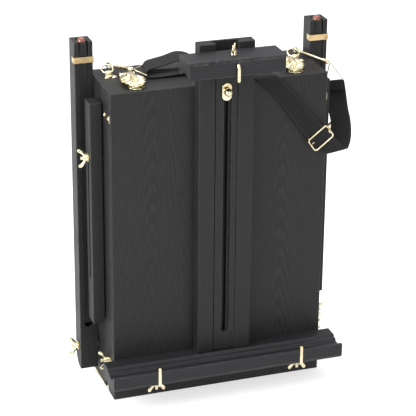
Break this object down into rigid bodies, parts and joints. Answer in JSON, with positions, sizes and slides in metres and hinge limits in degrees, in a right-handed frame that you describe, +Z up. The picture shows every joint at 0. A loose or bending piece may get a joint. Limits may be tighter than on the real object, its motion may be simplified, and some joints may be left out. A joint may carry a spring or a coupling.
{
  "type": "artist box easel",
  "caption": "Folding sketch-box easel in black-stained wood with a canvas tray, sliding mast, telescoping legs, brass fittings and a carrying strap.",
  "frame": {"origin": "middle of the box's base, on the surface that the folded easel stands on", "axes": "+X to the right, +Y from the lid to the back, +Z up along the box's length"},
  "size_m": [0.4754, 0.2447, 0.629],
  "materials": {
    "stained_wood": "black stain, satin",
    "plain_wood": "oiled",
    "brass": "polished, pale",
    "webbing": "woven",
    "foot_rubber": "matt"
  },
  "bodies": {
    "box": {"back_panel": "stained_wood", "base_strips": "brass", "box_frame": "stained_wood", "dividers": "stained_wood", "hinge_box_leaves": "brass", "latch_plates": "brass", "palette": "plain_wood", "pivot_bolts": "brass", "pivot_washers": "brass", "rear_bracket": "stained_wood", "ring_plates": "brass", "snap_hooks": "brass", "strap_buckle": "brass", "strap_front": "webbing", "strap_rings": "brass", "strap_top": "webbing"},
    "lid": {"lid_frame": "stained_wood", "lid_panel": "stained_wood", "guide_board": "stained_wood", "guide_rails": "stained_wood", "mast_lock_plate": "brass", "mast_lock_knob": "brass", "tray": "stained_wood", "tray_studs": "brass", "tray_straps": "brass", "tray_strap_bolts": "brass", "stay_brackets": "brass", "latch_keepers": "brass", "hinge_lid_leaves": "brass"},
    "mast": {"mast": "stained_wood", "clamp_bar": "stained_wood", "clamp_stud": "brass"},
    "upper_hook": {"upper_hook": "brass"},
    "clamp_nut": {"clamp_nut": "brass"},
    "tray_hook_left": {"tray_hook_left": "brass"},
    "tray_hook_right": {"tray_hook_right": "brass"},
    "tray_nut_left": {"tray_nut_left": "brass"},
    "tray_nut_right": {"tray_nut_right": "brass"},
    "stay_left": {"stay_left": "stained_wood"},
    "stay_right": {"stay_right": "stained_wood"},
    "stay_nut_left": {"stay_nut_left": "brass"},
    "stay_nut_right": {"stay_nut_right": "brass"},
    "leg_left": {"leg_left": "stained_wood", "leg_band_left": "brass"},
    "leg_right": {"leg_right": "stained_wood", "leg_band_right": "brass"},
    "leg_slide_left": {"leg_slide_left": "stained_wood", "foot_left": "foot_rubber"},
    "leg_slide_right": {"leg_slide_right": "stained_wood", "foot_right": "foot_rubber"},
    "leg_nut_left": {"leg_nut_left": "brass"},
    "leg_nut_right": {"leg_nut_right": "brass"},
    "leg_rear": {"leg_rear": "stained_wood", "leg_band_rear": "brass"},
    "leg_slide_rear": {"leg_slide_rear": "stained_wood", "foot_rear": "foot_rubber"},
    "leg_nut_rear": {"leg_nut_rear": "brass"},
    "latch_left": {"latch_left": "brass"},
    "latch_right": {"latch_right": "brass"}
  },
  "joints": [
    {"name": "lid_hinge", "type": "hinge", "parent": "box", "child": "lid", "pos_m": [0, -0.0195, 0.0045], "axis": [1, 0, 0], "range_deg": [0, 85], "deforming": ["strap_front", "strap_buckle", "strap_top"]},
    {"name": "mast_slide", "type": "slide", "parent": "lid", "child": "mast", "axis": [0, 0, 1], "range_m": [0, 0.42]},
    {"name": "upper_hook_slide", "type": "slide", "parent": "mast", "child": "upper_hook", "axis": [0, -1, 0], "range_m": [0, 0.012]},
    {"name": "clamp_nut_turn", "type": "hinge", "parent": "mast", "child": "clamp_nut", "pos_m": [0.0025, -0.1155, 0.613], "axis": [0, 0, 1], "continuous": true},
    {"name": "tray_hook_slide_left", "type": "slide", "parent": "lid", "child": "tray_hook_left", "axis": [0, -1, 0], "range_m": [0, 0.008]},
    {"name": "tray_nut_turn_left", "type": "hinge", "parent": "lid", "child": "tray_nut_left", "pos_m": [-0.1245, -0.1075, 0.045], "axis": [0, 0, -1], "continuous": true},
    {"name": "tray_hook_slide_right", "type": "slide", "parent": "lid", "child": "tray_hook_right", "axis": [0, -1, 0], "range_m": [0, 0.008]},
    {"name": "tray_nut_turn_right", "type": "hinge", "parent": "lid", "child": "tray_nut_right", "pos_m": [0.1295, -0.1075, 0.045], "axis": [0, 0, -1], "continuous": true},
    {"name": "stay_slide_left", "type": "slide", "parent": "box", "child": "stay_left", "axis": [0, 0, 1], "range_m": [0, 0.21]},
    {"name": "stay_nut_turn_left", "type": "hinge", "parent": "box", "child": "stay_nut_left", "pos_m": [-0.2105, -0.008, 0.425], "axis": [-1, 0, 0], "continuous": true},
    {"name": "leg_swing_left", "type": "hinge", "parent": "box", "child": "leg_left", "pos_m": [-0.205, 0.0385, 0.06], "axis": [-1, 0, 0], "range_deg": [0, 100]},
    {"name": "leg_extend_left", "type": "slide", "parent": "leg_left", "child": "leg_slide_left", "axis": [0, 0, 1], "range_m": [0, 0.4]},
    {"name": "leg_nut_turn_left", "type": "hinge", "parent": "box", "child": "leg_nut_left", "pos_m": [-0.2225, 0.0385, 0.06], "axis": [-1, 0, 0], "continuous": true},
    {"name": "stay_slide_right", "type": "slide", "parent": "box", "child": "stay_right", "axis": [0, 0, 1], "range_m": [0, 0.018]},
    {"name": "stay_nut_turn_right", "type": "hinge", "parent": "box", "child": "stay_nut_right", "pos_m": [0.2105, -0.008, 0.425], "axis": [1, 0, 0], "continuous": true},
    {"name": "leg_swing_right", "type": "hinge", "parent": "box", "child": "leg_right", "pos_m": [0.205, 0.0385, 0.06], "axis": [-1, 0, 0], "range_deg": [0, 100]},
    {"name": "leg_extend_right", "type": "slide", "parent": "leg_right", "child": "leg_slide_right", "axis": [0, 0, 1], "range_m": [0, 0.4]},
    {"name": "leg_nut_turn_right", "type": "hinge", "parent": "box", "child": "leg_nut_right", "pos_m": [0.2225, 0.0385, 0.06], "axis": [1, 0, 0], "continuous": true},
    {"name": "leg_swing_rear", "type": "hinge", "parent": "box", "child": "leg_rear", "pos_m": [0, 0.0855, 0.513], "axis": [1, 0, 0], "range_deg": [0, 105]},
    {"name": "leg_extend_rear", "type": "slide", "parent": "leg_rear", "child": "leg_slide_rear", "axis": [0, 0, -1], "range_m": [0, 0.3]},
    {"name": "leg_nut_turn_rear", "type": "hinge", "parent": "box", "child": "leg_nut_rear", "pos_m": [0.0287, 0.0855, 0.513], "axis": [1, 0, 0], "continuous": true},
    {"name": "latch_turn_left", "type": "hinge", "parent": "box", "child": "latch_left", "pos_m": [-0.137, 0.0085, 0.555], "axis": [-1, 0, 0], "range_deg": [0, 100]},
    {"name": "latch_turn_right", "type": "hinge", "parent": "box", "child": "latch_right", "pos_m": [0.137, 0.0085, 0.555], "axis": [-1, 0, 0], "range_deg": [0, 100]}
  ]
}
